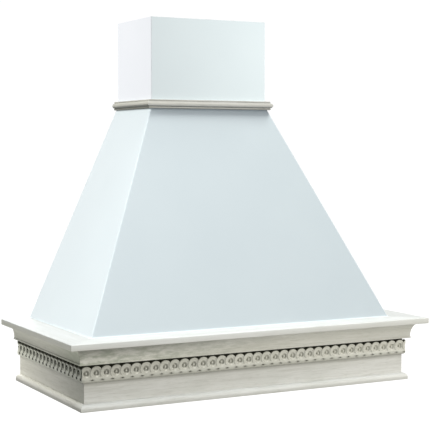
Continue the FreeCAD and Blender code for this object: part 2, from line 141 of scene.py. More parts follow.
def material(name):
    m = bpy.data.materials.new(name)
    m.use_nodes = True
    nt = m.node_tree
    return m, nt, nt.nodes["Principled BSDF"]


# ------------------------------------------------------------------ materials
def limed_wood(name, axis, tone=1.0, carved=None, greening_and_shade=0.0, painted_shade_bands=(), grained=1.0, shade=None, tint=(1.0, 1.0, 1.0)):
    """Limed, waxed hardwood: pale grey, grain along one axis. A carved piece has dark patina in its hollows, deepened
    with painted shade, a painted shadow under the moulding above it and, on the front, a painted highlight under each
    ring. Grey-green patches can be made stronger towards one corner as painted shade, and bands of height darkened as
    painted shade.
    Shade is (low z, high z, tone at the low one, tone at the high one), painted light and shade; a tone can be a ramp
    along x."""
    m, nt, b = material(name)
    v = coords(nt)
    xyz = nt.nodes.new("ShaderNodeSeparateXYZ")
    put(nt, xyz.inputs[0], v)
    x, y, z = xyz.outputs[0], xyz.outputs[1], xyz.outputs[2]
    along = {"X": (0.05, 1, 1), "Y": (1, 0.05, 1)}[axis]
    streak = {"X": (0.022, 1, 1), "Y": (1, 0.022, 1)}[axis]
    short = {"X": (0.14, 1, 1), "Y": (1, 0.14, 1)}[axis]
    tone_n = noise(nt, scale(nt, v, along, (3.1, 1.7, 0.4)), 42.0, 3.0, 0.55, 0.4)
    grain = noise(nt, scale(nt, v, along), 230.0, 4.0, 0.6, 0.6)
    fine = noise(nt, scale(nt, v, streak, (0.3, 0.9, 0.2)), 900.0, 2.0, 0.5)
    fleck = remap(nt, noise(nt, scale(nt, v, short, (0.7, 0.1, 1.9)), 420.0, 2.0, 0.5), 0.56, 0.72)
    pore = remap(nt, noise(nt, scale(nt, v, along, (1.3, 0.2, 2.2)), 620.0, 2.0, 0.5), 0.60, 0.70)
    cloud = noise(nt, scale(nt, v, (1, 1, 1), (5.0, 2.0, 1.0)), 9.0, 2.0, 0.5)
    col = lambda r, g, b_: (r * tone * tint[0], g * tone * tint[1], b_ * tone * tint[2])
    c = mix(nt, remap(nt, tone_n, 0.34, 0.68), col(0.675, 0.675, 0.640), col(0.60, 0.598, 0.555))
    c = mix(nt, remap(nt, grain, 0.48, 0.74, 0.0, 0.50 * grained), c, col(0.46, 0.455, 0.405))
    c = mix(nt, remap(nt, fine, 0.45, 0.75, 0.0, 0.26 * grained), c, col(0.46, 0.455, 0.405))
    c = mix(nt, math_(nt, "MULTIPLY", fleck, 0.20 * grained), c, col(0.36, 0.36, 0.31))
    c = mix(nt, math_(nt, "MULTIPLY", pore, 0.26 * grained), c, col(0.32, 0.315, 0.27))
    c = mix(nt, remap(nt, cloud, 0.50, 0.72, 0.0, 0.20), c, col(0.47, 0.485, 0.43))
    if greening_and_shade:
        # grey-green patches, real on the wood, made stronger towards one corner as painted shade
        near = remap(nt, math_(nt, "ADD", x, math_(nt, "MULTIPLY", y, -1.0)), -0.05, 0.62, 1.0, 0.0, True) if axis == "X" else remap(nt, y, -0.43, -0.19, 1.0, 0.0, True)
        patch = remap(nt, noise(nt, scale(nt, v, {"X": (0.30, 1, 1), "Y": (1, 0.30, 1)}[axis], (2.0, 4.0, 1.0)), 105.0, 5.0, 0.68), 0.42, 0.60)
        greening_and_corner_shade = math_(nt, "MULTIPLY", near, remap(nt, patch, 0.0, 1.0, (0.08 if axis == "X" else 0.62) * greening_and_shade, 0.80 * greening_and_shade))
        c = mix(nt, greening_and_corner_shade, c, col(0.30, 0.325, 0.265))
    # painted shade: bands of height darkened under the mouldings, in creases and on the lower, down-facing parts
    for clean, dirty, amount in painted_shade_bands:
        c = mix(nt, remap(nt, z, clean, dirty, 0.0, amount, True), c, col(0.10, 0.105, 0.085))
    # painted light and shade: tone ramped with height and along x
    if shade:
        low, high = (remap(nt, x, *t) if isinstance(t, tuple) else t for t in shade[2:])
        c = mix(nt, 1.0, c, remap(nt, z, shade[0], shade[1], low, high), "MULTIPLY")
    if carved:
        ring_, boss_, gap_, band, pit_, crease_, edge_, over = carved
        along_s = math_(nt, "SUBTRACT", x if axis == "X" else y, COIN_START[axis] * MM)

        def from_nearest(s):
            return math_(nt, "MULTIPLY", math_(nt, "SUBTRACT", math_(nt, "FRACT", math_(nt, "ADD", math_(nt, "DIVIDE", s, PITCH * MM), 0.5)), 0.5), PITCH * MM)

        ds = from_nearest(along_s)
        dz = math_(nt, "SUBTRACT", z, COIN_Z * MM)
        r = hypot(nt, math_(nt, "MULTIPLY", ds, 1.0 if axis == "X" else 0.8), dz)
        # dark patina and painted shade in the ring round each boss, weighted by height on the coin where the shade
        # falls
        ring = math_(nt, "MULTIPLY", remap(nt, r, 0.0018, 0.0034, boss_, ring_, True), remap(nt, r, 0.0048, 0.0074, 1.0, 0.0, True))
        fade_along_x = remap(nt, x, -0.34, 0.30, 1.0, 0.30) if axis == "X" else 1.0  # the dark marks and the painted highlight fade towards one end
        upper = remap(nt, dz, -0.0010, 0.0080, 0.12, 1.0, True) if axis == "X" else 1.0
        lower = remap(nt, dz, -0.0010, 0.0060, 1.0, 0.55, True) if axis == "X" else remap(nt, dz, -0.0050, 0.0015, 0.15, 1.0, True)
        ring = math_(nt, "MULTIPLY", math_(nt, "MULTIPLY", ring, lower), fade_along_x)
        # painted shadow round the tops of the coins and in a band under the cove's lip
        if axis == "X":
            rim = remap(nt, hypot(nt, math_(nt, "SUBTRACT", ds, 0.0008), dz), 0.0134, 0.0152, 0.0, gap_, True)
        else:
            rim = remap(nt, r, 0.0143, 0.0159, 0.0, gap_, True)
        gap = math_(nt, "MULTIPLY", rim, remap(nt, z, 0.0850, 0.0890, 0.0, 1.0, True))
        gap = math_(nt, "MAXIMUM", gap, remap(nt, z, band, band + 0.0030, 0.0, gap_, True))
        # painted shade in the punch marks
        side_s = from_nearest(math_(nt, "SUBTRACT", along_s, (PITCH / 2 + PIT_SHIFT[axis]) * MM))
        far = hypot(nt, math_(nt, "MULTIPLY", side_s, 0.46 if axis == "X" else 0.58), math_(nt, "SUBTRACT", z, (PIT_Z + (0.0 if axis == "X" else 2.0)) * MM))
        pit = remap(nt, far, 0.0014, 0.0040, pit_, 0.0, True)
        # painted shade in creases found by occlusion and at the foot of each raised coin edge, kept to the upper part
        # of the coin
        crease = remap(nt, occlusion(nt, 0.010, 12), 0.25, 0.75, crease_, 0.0)
        step = hypot(nt, math_(nt, "SUBTRACT", PITCH * MM, math_(nt, "MULTIPLY", ds, over)), dz)  # from the centre of the coin that lies over this one
        foot = math_(nt, "MULTIPLY", remap(nt, step, COIN_R * MM, (COIN_R + (2.6 if axis == "X" else 4.2)) * MM, edge_, 0.0, True), remap(nt, step, (COIN_R - 0.7) * MM, (COIN_R - 0.1) * MM))
        crease = math_(nt, "MULTIPLY", math_(nt, "MAXIMUM", crease, foot), upper)
        # dark patina and painted shade and shadow, mixed towards near-black
        hollow = math_(nt, "MAXIMUM", math_(nt, "MAXIMUM", ring, gap), math_(nt, "MAXIMUM", pit, crease))
        c = mix(nt, hollow, c, col(0.027, 0.028, 0.018))
        if axis == "X":  # painted highlight on the lower lip of each ring
            lip = hypot(nt, math_(nt, "MULTIPLY", math_(nt, "SUBTRACT", ds, 0.0020), 0.8), math_(nt, "ADD", dz, 0.0068))
            c = mix(nt, math_(nt, "MULTIPLY", remap(nt, lip, 0.0010, 0.0036, 0.85, 0.0, True), fade_along_x), c, col(0.87, 0.87, 0.82))
    put(nt, b.inputs["Base Color"], c)
    rough = remap(nt, grain, 0.3, 0.8, 0.50, 0.64)
    if carved:
        rough = math_(nt, "MAXIMUM", rough, math_(nt, "MULTIPLY", hollow, 0.95))
    put(nt, b.inputs["Roughness"], rough)
    h = math_(nt, "SUBTRACT", math_(nt, "MULTIPLY", grain, 0.5), math_(nt, "MULTIPLY", math_(nt, "MAXIMUM", pore, fleck), 0.5))
    put(nt, b.inputs["Normal"], bump(nt, math_(nt, "ADD", h, math_(nt, "MULTIPLY", fine, 0.3)), 0.20, 0.0006))
    b.inputs["Specular IOR Level"].default_value = 0.28
    return m


def pine():
    m, nt, b = material("plain_softwood")
    v = coords(nt)
    ring = noise(nt, scale(nt, v, (0.05, 1, 1)), 120.0, 3.0, 0.55, 0.8)
    fine = noise(nt, scale(nt, v, (0.03, 1, 1)), 700.0, 2.0)
    c = mix(nt, remap(nt, ring, 0.35, 0.70), (0.62, 0.52, 0.39), (0.49, 0.38, 0.26))
    c = mix(nt, remap(nt, fine, 0.45, 0.75, 0.0, 0.4), c, (0.40, 0.31, 0.21))
    put(nt, b.inputs["Base Color"], c)
    put(nt, b.inputs["Roughness"], remap(nt, fine, 0.2, 0.8, 0.60, 0.78))
    put(nt, b.inputs["Normal"], bump(nt, fine, 0.2, 0.0005))
    return m


def white_paint():
    """Cool white satin paint on sheet steel, with a faint spray texture."""
    m, nt, b = material("white_satin_paint")
    v = coords(nt)
    cloud = noise(nt, v, 7.0, 2.0, 0.5)
    peel = noise(nt, v, 520.0, 2.0, 0.5)
    dust = remap(nt, noise(nt, v, 1500.0, 1.0), 0.68, 0.78)
    c = mix(nt, remap(nt, cloud, 0.3, 0.7), (0.700, 0.780, 0.795), (0.716, 0.795, 0.808))
    c = mix(nt, math_(nt, "MULTIPLY", dust, 0.05), c, (0.60, 0.64, 0.64))
    put(nt, b.inputs["Base Color"], c)
    put(nt, b.inputs["Roughness"], remap(nt, peel, 0.25, 0.75, 0.36, 0.46))
    put(nt, b.inputs["Normal"], bump(nt, peel, 0.04, 0.0003))
    b.inputs["Specular IOR Level"].default_value = 0.45
    return m


def zinc():
    m, nt, b = material("zinc_coated_sheet")
    v = coords(nt)
    vor = nt.nodes.new("ShaderNodeTexVoronoi")
    put(nt, vor.inputs["Vector"], v)
    vor.inputs["Scale"].default_value = 170.0
    g = nt.nodes.new("ShaderNodeRGBToBW")
    put(nt, g.inputs[0], vor.outputs["Color"])
    n = noise(nt, v, 420.0, 3.0)
    put(nt, b.inputs["Base Color"], mix(nt, remap(nt, g.outputs[0], 0.2, 0.8), (0.56, 0.58, 0.59), (0.63, 0.65, 0.66)))
    put(nt, b.inputs["Roughness"], remap(nt, g.outputs[0], 0.1, 0.9, 0.40, 0.48))
    put(nt, b.inputs["Normal"], bump(nt, n, 0.06, 0.0003))
    b.inputs["Metallic"].default_value = 1.0
    return m


def brushed(name, light, dark, axis="X", rough=(0.26, 0.44), s=900.0):
    m, nt, b = material(name)
    v = coords(nt)
    k = (0.012, 1, 1) if axis == "X" else (1, 0.012, 1)
    n = noise(nt, scale(nt, v, k), s, 3.0, 0.6)
    cloud = noise(nt, v, 22.0, 2.0)
    put(nt, b.inputs["Base Color"], mix(nt, remap(nt, n, 0.3, 0.7), dark, light))
    put(nt, b.inputs["Roughness"], math_(nt, "ADD", remap(nt, n, 0.25, 0.75, rough[0], rough[1]), remap(nt, cloud, 0.3, 0.7, -0.03, 0.03)))
    put(nt, b.inputs["Normal"], bump(nt, n, 0.08, 0.0002))
    b.inputs["Metallic"].default_value = 1.0
    return m


def plastic(name, light, dark, rough=(0.42, 0.58), grain=1400.0, strength=0.12):
    m, nt, b = material(name)
    v = coords(nt)
    n = noise(nt, v, grain, 2.0)
    cloud = noise(nt, v, 30.0, 2.0)
    put(nt, b.inputs["Base Color"], mix(nt, remap(nt, cloud, 0.3, 0.7), light, dark))
    put(nt, b.inputs["Roughness"], remap(nt, n, 0.25, 0.75, rough[0], rough[1]))
    put(nt, b.inputs["Normal"], bump(nt, n, strength, 0.0002))
    return m


def frosted_glass():
    m, nt, b = material("frosted_lamp_glass")
    v = coords(nt)
    n = noise(nt, v, 900.0, 2.0)
    put(nt, b.inputs["Base Color"], mix(nt, remap(nt, n, 0.3, 0.7), (0.86, 0.87, 0.86), (0.93, 0.93, 0.91)))
    put(nt, b.inputs["Roughness"], remap(nt, n, 0.2, 0.8, 0.30, 0.48))
    put(nt, b.inputs["Normal"], bump(nt, n, 0.15, 0.0003))
    b.inputs["Transmission Weight"].default_value = 0.35
    return m


# The front, side and right-hand copies differ in tone, tint and the strength of their dark marks as painted light and
# shade for each face; the right ledge's copy is darker as painted shade.
WOOD_X = limed_wood("limed_wood_along_x", "X")
WOOD_Y = limed_wood("limed_wood_along_y", "Y")
COVE_X = limed_wood("cove_wood_along_x", "X", 1.06, greening_and_shade=1.0, shade=(0.102, 0.133, (-0.36, 0.36, 1.26, 0.83), (-0.36, 0.12, 0.64, 1.22)), tint=(1.0, 1.0, 0.975))
COVE_Y = limed_wood("cove_wood_along_y", "Y", 0.99, greening_and_shade=1.05)
CARVED_X = limed_wood("carved_wood_along_x", "X", 1.08, carved=(0.54, 0.0, 0.97, 0.0950, 0.22, 0.26, 0.30, 1.0), painted_shade_bands=[(0.0700, 0.0640, 0.22)], shade=(0.066, 0.088, 1.0, (-0.36, -0.05, 0.78, 0.95)), tint=(1.0, 1.0, 0.955))
CARVED_Y = limed_wood("carved_wood_along_y", "Y", 0.93, carved=(0.92, 0.60, 0.995, 0.0873, 0.97, 0.92, 1.0, 1.0), greening_and_shade=0.42, tint=(0.975, 1.0, 0.925))
CARVED_R = limed_wood("carved_wood_right", "Y", 1.0, carved=(0.60, 0.0, 0.97, 0.0950, 0.10, 0.26, 0.30, 1.0), tint=(1.0, 1.0, 0.955))
COLLAR_X = limed_wood("collar_wood_along_x", "X", 0.86, painted_shade_bands=[(0.6480, 0.6445, 0.36)], shade=(0.6480, 0.6545, 1.20, 0.86), tint=(0.995, 1.0, 1.03))
COLLAR_Y = limed_wood("collar_wood_along_y", "Y", 1.03, painted_shade_bands=[(0.6505, 0.6470, 0.70)])
LEDGE_X = limed_wood("ledge_wood_along_x", "X", 0.98, grained=0.5)
LEDGE_Y = limed_wood("ledge_wood_along_y", "Y", 0.97, grained=0.4)
SHADED_LEDGE_RIGHT = limed_wood("ledge_wood_right", "Y", 0.84, grained=0.6)
FRIEZE_X = limed_wood("frieze_wood_along_x", "X", 1.02, painted_shade_bands=[(0.0500, 0.0605, 0.42)])
FRIEZE_Y = limed_wood("frieze_wood_along_y", "Y", 0.93, greening_and_shade=0.66, painted_shade_bands=[(0.0500, 0.0605, 0.36), (0.0200, 0.0155, 0.20)], tint=(1.0, 0.995, 0.945))
BASE_X = limed_wood("base_wood_along_x", "X", 1.11, painted_shade_bands=[(0.0095, 0.0040, 0.17)])
BASE_Y = limed_wood("base_wood_along_y", "Y", 1.11, painted_shade_bands=[(0.0100, 0.0050, 0.25)], tint=(1.0, 1.0, 0.975))
WOODS = (WOOD_X, WOOD_Y, LEDGE_X, LEDGE_Y, SHADED_LEDGE_RIGHT, COVE_X, COVE_Y, CARVED_X, CARVED_Y, CARVED_R, COLLAR_X, COLLAR_Y, FRIEZE_X, FRIEZE_Y, BASE_X, BASE_Y)
PAINT = white_paint()
PINE = pine()
ZINC = zinc()
PANEL = brushed("brushed_stainless", (0.66, 0.66, 0.65), (0.54, 0.54, 0.53))
ALU = brushed("satin_aluminium", (0.76, 0.77, 0.78), (0.62, 0.63, 0.64), rough=(0.30, 0.46))
ALU_BACK = brushed("mesh_backing", (0.40, 0.41, 0.42), (0.26, 0.27, 0.28), rough=(0.40, 0.60), s=500.0)
SCREW = brushed("plated_steel", (0.62, 0.62, 0.62), (0.48, 0.48, 0.48), rough=(0.24, 0.40))
CHROME = brushed("satin_chrome", (0.80, 0.80, 0.81), (0.70, 0.70, 0.71), rough=(0.12, 0.24))
GREY = plastic("dark_grey_plastic", (0.060, 0.062, 0.065), (0.045, 0.046, 0.049))
BLACK = plastic("black_fan_plastic", (0.028, 0.028, 0.030), (0.020, 0.020, 0.021))
MOTOR = plastic("dark_motor_enamel", (0.085, 0.09, 0.095), (0.06, 0.063, 0.067), (0.34, 0.48), 700.0, 0.08)
RUBBER = plastic("black_rubber", (0.018, 0.018, 0.018), (0.012, 0.012, 0.012), (0.62, 0.80), 900.0, 0.2)
KEY = plastic("light_grey_keys", (0.55, 0.55, 0.54), (0.50, 0.50, 0.49), (0.26, 0.38), 1600.0, 0.06)
GLASS = frosted_glass()

SLOT_MATERIAL = {"limed_wood": WOOD_X, "inner_wood": PINE, "white_paint": PAINT, "zinc_sheet": ZINC, "panel_steel": PANEL, "filter_aluminium": ALU,
                 "screw_steel": SCREW, "grey_plastic": GREY, "motor_steel": MOTOR, "fan_plastic": BLACK, "bush_rubber": RUBBER,
                 "lamp_trim": CHROME, "lamp_glass": GLASS, "button_plastic": KEY}
for entry in frame["record"]["subparts"]:
    o = NODES[entry["node"]]
    mat = SLOT_MATERIAL[entry["material_slot"]]
    if mat is WOOD_X and not entry["node"].endswith("front"):
        mat = WOOD_Y
    for s in o.material_slots:
        s.material = mat


# ------------------------------------------------------------------ mesh helpers
def mark(me, angle=32.0):
    """Smooth faces with edges over an angle kept sharp."""
    bm = bmesh.new()
    bm.from_mesh(me)
    bmesh.ops.remove_doubles(bm, verts=bm.verts, dist=1e-7)
    bmesh.ops.recalc_face_normals(bm, faces=bm.faces)
    for f in bm.faces:
        f.smooth = True
    for e in bm.edges:
        e.smooth = len(e.link_faces) == 2 and e.calc_face_angle(0.0) < math.radians(angle)
    bm.to_mesh(me)
    bm.free()


def new_object(name, verts, faces):
    me = bpy.data.meshes.new(name)
    me.from_pydata([tuple(c * MM for c in v) for v in verts], [], faces)
    mark(me)
    o = bpy.data.objects.new(name, me)
    SC.collection.objects.link(o)
    return o


def dress(o, mat, slot, body, *replaced):
    o.data.materials.clear()
    o.data.materials.append(mat)
    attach(o, body)
    if replaced:
        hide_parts(*replaced)
    return o


def fillet(points, radii, n=4):
    """A closed polygon with its corners rounded."""
    out = []
    count = len(points)
    for i, p in enumerate(points):
        r = radii[i] if i < len(radii) else 0.0
        p = Vector(p)
        if r <= 0:
            out.append(tuple(p))
            continue
        a, b = (Vector(points[i - 1]) - p).normalized(), (Vector(points[(i + 1) % count]) - p).normalized()
        half = a.angle(b) / 2
        d = r / math.tan(half)
        c = p + (a + b).normalized() * (r / math.sin(half))
        s, e = p + a * d - c, p + b * d - c
        turn = s.angle(e)
        sign = 1.0 if s.x * e.y - s.y * e.x > 0 else -1.0
        for k in range(n + 1):
            t = sign * turn * k / n
            out.append((c.x + s.x * math.cos(t) - s.y * math.sin(t), c.y + s.x * math.sin(t) + s.y * math.cos(t)))
    return out


def arc(cx, cy, rx, ry, a0, a1, n):
    return [(cx + rx * math.cos(math.radians(a0 + (a1 - a0) * k / n)), cy + ry * math.sin(math.radians(a0 + (a1 - a0) * k / n))) for k in range(n + 1)]


def run(name, side, profile, base_x, base_y, gap=0.12, cuts=1):
    """A moulding: profile of (outward, height), run along one side of a frame and mitred at the corners."""
    n = len(profile)
    rings = []
    for k in range(cuts + 1):
        t = k / cuts
        ring = []
        for u, z in profile:
            if side == "front":
                half = base_x + u - gap
                ring.append((-half + 2 * half * t, -(base_y + u), z))
            else:
                sx = -1 if side == "left" else 1
                ring.append((sx * (base_x + u), -(base_y + u - gap) * (1 - t), z))
        rings.append(ring)
    verts = [v for ring in rings for v in ring]
    faces = [tuple(range(n)), tuple(range(cuts * n, cuts * n + n))]
    for k in range(cuts):
        for i in range(n):
            j = (i + 1) % n
            faces.append((k * n + i, k * n + j, (k + 1) * n + j, (k + 1) * n + i))
    return new_object(name, verts, faces)


def boolean(o, other, op):
    mod = o.modifiers.new("cut", "BOOLEAN")
    mod.operation, mod.object = op, other
    mod.solver = "MANIFOLD"
    bpy.context.view_layer.update()
    me = bpy.data.meshes.new_from_object(o.evaluated_get(bpy.context.evaluated_depsgraph_get()))
    o.modifiers.clear()
    old = o.data
    o.data = me
    bpy.data.meshes.remove(old)
    used = other.data
    bpy.data.objects.remove(other)
    bpy.data.meshes.remove(used)


# ------------------------------------------------------------------ wooden cornice
FRIEZE = 405.0
LEDGE = fillet([(-45, 135.5), (45, 135.5), (45, 148.5), (-45, 148.5)], [0, 1.0, 1.6, 0])
COVE = ([(0, 99.0)] + fillet([(0, 99.0), (15.4, 99.0), (15.4, 102.8), (13.9, 102.8)], [0, 0.7, 1.1, 0])[1:]
        + arc(31.0, 102.8, -17.1, 32.7, 2, 90, 18) + [(0, 135.5)])
BOARD = fillet([(-18, 0), (0, 0), (0, 135.5), (-18, 135.5)], [0.6, 0, 0, 0])
BASE = [(0, 0)] + fillet([(0, 0), (11, 0), (11, 5.5), (0, 5.5)], [0, 1.5, 0, 0])[1:-1] + arc(1.4, 5.5, 9.6, 10.0, 8, 90, 10) + [(0, 15.5)]
COLLAR = ([(0, 640.0)] + arc(5.6, 642.2, 2.7, 2.2, -90, 70, 7) + arc(5.4, 650.4, 7.1, 6.2, -76, 72, 14) + arc(5.0, 658.7, 2.6, 2.0, -50, 90, 6) + [(0, 660.7)])
for side in ("front", "left", "right"):
    for kind, prof, on_x, on_y in (("ledge", LEDGE, LEDGE_X, LEDGE_Y), ("cove_moulding", COVE, COVE_X, COVE_Y), ("frieze_board", BOARD, FRIEZE_X, FRIEZE_Y), ("base_moulding", BASE, BASE_X, BASE_Y)):
        node = f"{kind}_{side}"
        dress(run(node + "_v", side, prof, FRIEZE, FRIEZE), on_x if side == "front" else SHADED_LEDGE_RIGHT if node == "ledge_right" else on_y, "limed_wood", "hood", node)
    node = f"collar_moulding_{side}"
    dress(run(node + "_v", side, COLLAR, 153.0, 195.0, 0.08), COLLAR_X if side == "front" else COLLAR_Y, "limed_wood", "hood", node)

# coin moulding: discs that each lie over the next one's edge
TILT, LEAN = math.radians(4.6), -0.03
FACE_U = 5.7
COIN = [(0, 0.75), (0.9, 0.68), (1.7, 0.42), (2.3, -0.10), (2.7, -1.10), (3.1, -2.10), (3.7, -2.60), (4.5, -2.45), (5.4, -1.75), (6.2, -0.75), (6.8, -0.05), (7.3, 0.24), (8.0, 0.34),
        (9.2, 0.24), (10.0, 0.10), (10.6, 0.22), (11.5, 0.42), (12.4, 0.40), (13.4, 0.16), (14.2, -0.28), (14.9, -0.86), (15.5, -1.60), (15.85, -2.30), (16.0, -3.1), (16.0, -5.2)]


def coins(name, places, to_frame, seg=48):
    verts, faces = [], []
    for s0, lift in places:
        base = len(verts)
        for i, (r, h) in enumerate(COIN):
            for k in range(1 if i == 0 else seg):
                a = 2 * math.pi * k / seg
                ds, dz = r * math.cos(a), r * math.sin(a)
                verts.append(to_frame(s0 + ds * math.cos(TILT) - h * math.sin(TILT) * lift, FACE_U + h * math.cos(TILT) + ds * math.sin(TILT) * lift - LEAN * dz, COIN_Z + dz))
        for k in range(seg):
            faces.append((base, base + 1 + k, base + 1 + (k + 1) % seg))
        for i in range(1, len(COIN) - 1):
            a0, b0 = base + 1 + (i - 1) * seg, base + 1 + i * seg
            for k in range(seg):
                k2 = (k + 1) % seg
                faces.append((a0 + k, b0 + k, b0 + k2, a0 + k2))
        last = base + 1 + (len(COIN) - 2) * seg
        faces.append(tuple(last + k for k in range(seg)))
    return new_object(name, [v for v in verts], faces)


def pits(name, places, to_frame):
    """Three-cornered punch marks under the crossing of two coins."""
    verts, faces = [], []
    seg = 12
    for s0 in places:
        base = len(verts)
        for u, k in ((9.5, 1.35), (5.6, 1.0), (3.3, 0.60)):
            for i in range(seg):
                a = 2 * math.pi * i / seg
                w = 1.0 - 0.42 * max(0.0, math.sin(a)) ** 1.5
                verts.append(to_frame(s0 + 3.7 * k * w * math.cos(a), u, PIT_Z + (1.7 if math.sin(a) > 0 else 1.0) * k * math.sin(a)))
        faces.append(tuple(base + i for i in range(seg)))
        faces.append(tuple(base + 2 * seg + i for i in range(seg)))
        for r in (0, 1):
            for i in range(seg):
                j = (i + 1) % seg
                faces.append((base + r * seg + i, base + r * seg + j, base + (r + 1) * seg + j, base + (r + 1) * seg + i))
    return new_object(name, verts, faces)


STRIP = [(0, 60.0), (1.4, 60.0)] + arc(1.4, 65.4, 4.9, 5.4, -80, 0, 6) + [(6.4, 68.5), (6.2, 70.6), (5.0, 72.4), (2.6, 75.0), (0.5, 80.5), (0.5, 97.0), (0, 97.0)]


def coin_strip(side, lift):
    if side == "front":
        to_frame = lambda s, u, z: (s, -(FRIEZE + u), z)
        ks = range(-18, 19)
    else:
        sx = -1 if side == "left" else 1
        to_frame = lambda s, u, z: (sx * (FRIEZE + u), s, z)
        ks = range(-19, 2)
    start, shift = (t["X" if side == "front" else "Y"] for t in (COIN_START, PIT_SHIFT))
    o = run(f"coin_moulding_{side}_v", side, STRIP, FRIEZE, FRIEZE, 0.0)
    boolean(o, coins("even", [(start + PITCH * k, lift) for k in ks if k % 2 == 0], to_frame), "UNION")
    boolean(o, coins("odd", [(start + PITCH * k, lift) for k in ks if k % 2], to_frame), "UNION")
    boolean(o, pits("pits", [start + shift + PITCH * (k + 0.5) for k in ks], to_frame), "DIFFERENCE")
    wedge = {"front": [(0, 0), (-700, -700), (700, -700)], "left": [(0, 0), (-700, 0), (-700, -700)], "right": [(0, 0), (700, -700), (700, 0)]}[side]
    w = new_object("wedge", [(x, y, 50.0) for x, y in wedge] + [(x, y, 110.0) for x, y in wedge], [(0, 1, 2), (3, 4, 5), (0, 1, 4, 3), (1, 2, 5, 4), (2, 0, 3, 5)])
    boolean(o, w, "INTERSECT")
    mark(o.data, 38.0)
    return dress(o, {"front": CARVED_X, "left": CARVED_Y, "right": CARVED_R}[side], "limed_wood", "hood", f"coin_moulding_{side}")


coin_strip("front", -0.6)
coin_strip("left", -1.0)
coin_strip("right", -1.0)


# ------------------------------------------------------------------ painted sheets
def plan(w, d, r, n=6, rear=0.0):
    """A U in plan: rear left, round the two front corners, rear right."""
    pts = [(-w, rear)]
    pts += [(-w + r + r * math.cos(a), -d + r + r * math.sin(a)) for a in (math.pi + math.pi / 2 * k / n for k in range(n + 1))]
    pts += [(w - r + r * math.cos(a), -d + r + r * math.sin(a)) for a in (1.5 * math.pi + math.pi / 2 * k / n for k in range(n + 1))]
    return pts + [(w, rear)]


def loft(name, rings):
    """A closed skin through rings with the same number of points, each ring closed; end rings capped by strips between mirrored halves."""
    n = len(rings[0])
    verts = [v for ring in rings for v in ring]
    faces = []
    for k in range(len(rings) - 1):
        for i in range(n):
            j = (i + 1) % n
            faces.append((k * n + i, k * n + j, (k + 1) * n + j, (k + 1) * n + i))
    h = n // 2
    for k in (0, len(rings) - 1):
        for i in range(h - 1):
            faces.append((k * n + i, k * n + i + 1, k * n + n - 2 - i, k * n + n - 1 - i))
    return new_object(name, verts, faces)


def sheet_ring(outer, inner, z):
    return [(x, y, z) for x, y in outer] + [(x, y, z) for x, y in reversed(inner)]


BEND = 3.6
tx, ty = 1.65, 1.61
rings = []
for z, hem in ((148.6, 3.2), (148.9, 3.1), (149.3, 2.3), (149.5, 0.6), (150.5, 0.0), (151.6, 0.0), (400.0, 0.0), (640.0, 0.0)):
    t = (z - 148.5) / 491.5
    w, d = 380.0 - 225.0 * t, 384.0 - 186.5 * t
    rings.append(sheet_ring(plan(w + hem, d + hem, BEND + hem), plan(w - tx, d - ty, BEND - 1.6), z))
canopy = loft("canopy_shell_v", rings)
dress(canopy, PAINT, "white_paint", "hood", "canopy_front_sheet", "canopy_left_sheet", "canopy_right_sheet")

rings = []
for z, inset in ((520.0, 0.0), (849.4, 0.0), (850.0, 0.35)):
    o_, i_ = plan(151.0 - inset, 193.0 - inset, 2.4, rear=-1.9), plan(149.8 + inset, 191.8 + inset, 1.2, rear=-3.1)
    o_ = [(-136.0, -1.9)] + o_ + [(136.0, -1.9)]
    i_ = [(-136.0, -3.1)] + i_ + [(136.0, -3.1)]
    rings.append(sheet_ring(o_, i_, z))
chimney = loft("chimney_cover_v", rings)
dress(chimney, PAINT, "white_paint", "chimney", "chimney_cover")

# ------------------------------------------------------------------ underside and small fittings
SLOT_OF = {entry["node"]: entry["material_slot"] for entry in frame["record"]["subparts"]}


def fit_out(o, node, body):
    return dress(o, SLOT_MATERIAL[SLOT_OF[node]], SLOT_OF[node], body, node)


def join(name, *shells):
    """One object out of several closed skins, each a pair of vertices and faces."""
    verts, faces = [], []
    for vs, fs in shells:
        base = len(verts)
        verts += vs
        faces += [tuple(i + base for i in f) for f in fs]
    return new_object(name, verts, faces)


def spin(profile, seg, place, closed=False):
    """A lathed skin: profile of (radius, height); place puts (across, across, height) into the frame."""
    verts, faces, rows = [], [], []
    for r, h in profile:
        if r == 0:
            rows.append([len(verts)] * seg)
            verts.append(place(0.0, 0.0, h))
        else:
            rows.append([len(verts) + k for k in range(seg)])
            verts += [place(r * math.cos(2 * math.pi * k / seg), r * math.sin(2 * math.pi * k / seg), h) for k in range(seg)]
    if closed:
        rows.append(rows[0])
    for a, b in zip(rows, rows[1:]):
        for k in range(seg):
            j = (k + 1) % seg
            face = tuple(dict.fromkeys((a[k], a[j], b[j], b[k])))
            if len(face) > 2:
                faces.append(face)
    return verts, faces


def upright(cx, cy):
    return lambda a, b, h: (cx + a, cy + b, h)


def rect(x0, x1, y0, y1, r, n=4):
    pts = []
    for cx, cy, a0 in ((x1 - r, y1 - r, 0), (x0 + r, y1 - r, 90), (x0 + r, y0 + r, 180), (x1 - r, y0 + r, 270)):
        pts += arc(cx, cy, r, r, a0, a0 + 90, n)
    return pts


def stack(rings):
    """A closed skin through rings of the same number of points, both ends capped."""
    n = len(rings[0])
    verts = [v for ring in rings for v in ring]
    faces = [tuple(range(n)), tuple(range((len(rings) - 1) * n, len(rings) * n))]
    for k in range(len(rings) - 1):
        for i in range(n):
            j = (i + 1) % n
            faces.append((k * n + i, k * n + j, (k + 1) * n + j, (k + 1) * n + i))
    return verts, faces


def level(points, z):
    return [(x, y, z) for x, y in points]


def thicken(verts, faces, t):
    """A sheet made solid upwards by t."""
    n = len(verts)
    directed = {(a, b) for f in faces for a, b in zip(f, f[1:] + f[:1])}
    out = [tuple(f) for f in faces] + [tuple(i + n for i in reversed(f)) for f in faces]
    out += [(b, a, a + n, b + n) for a, b in directed if (b, a) not in directed]
    return verts + [(x, y, z + t) for x, y, z in verts], out


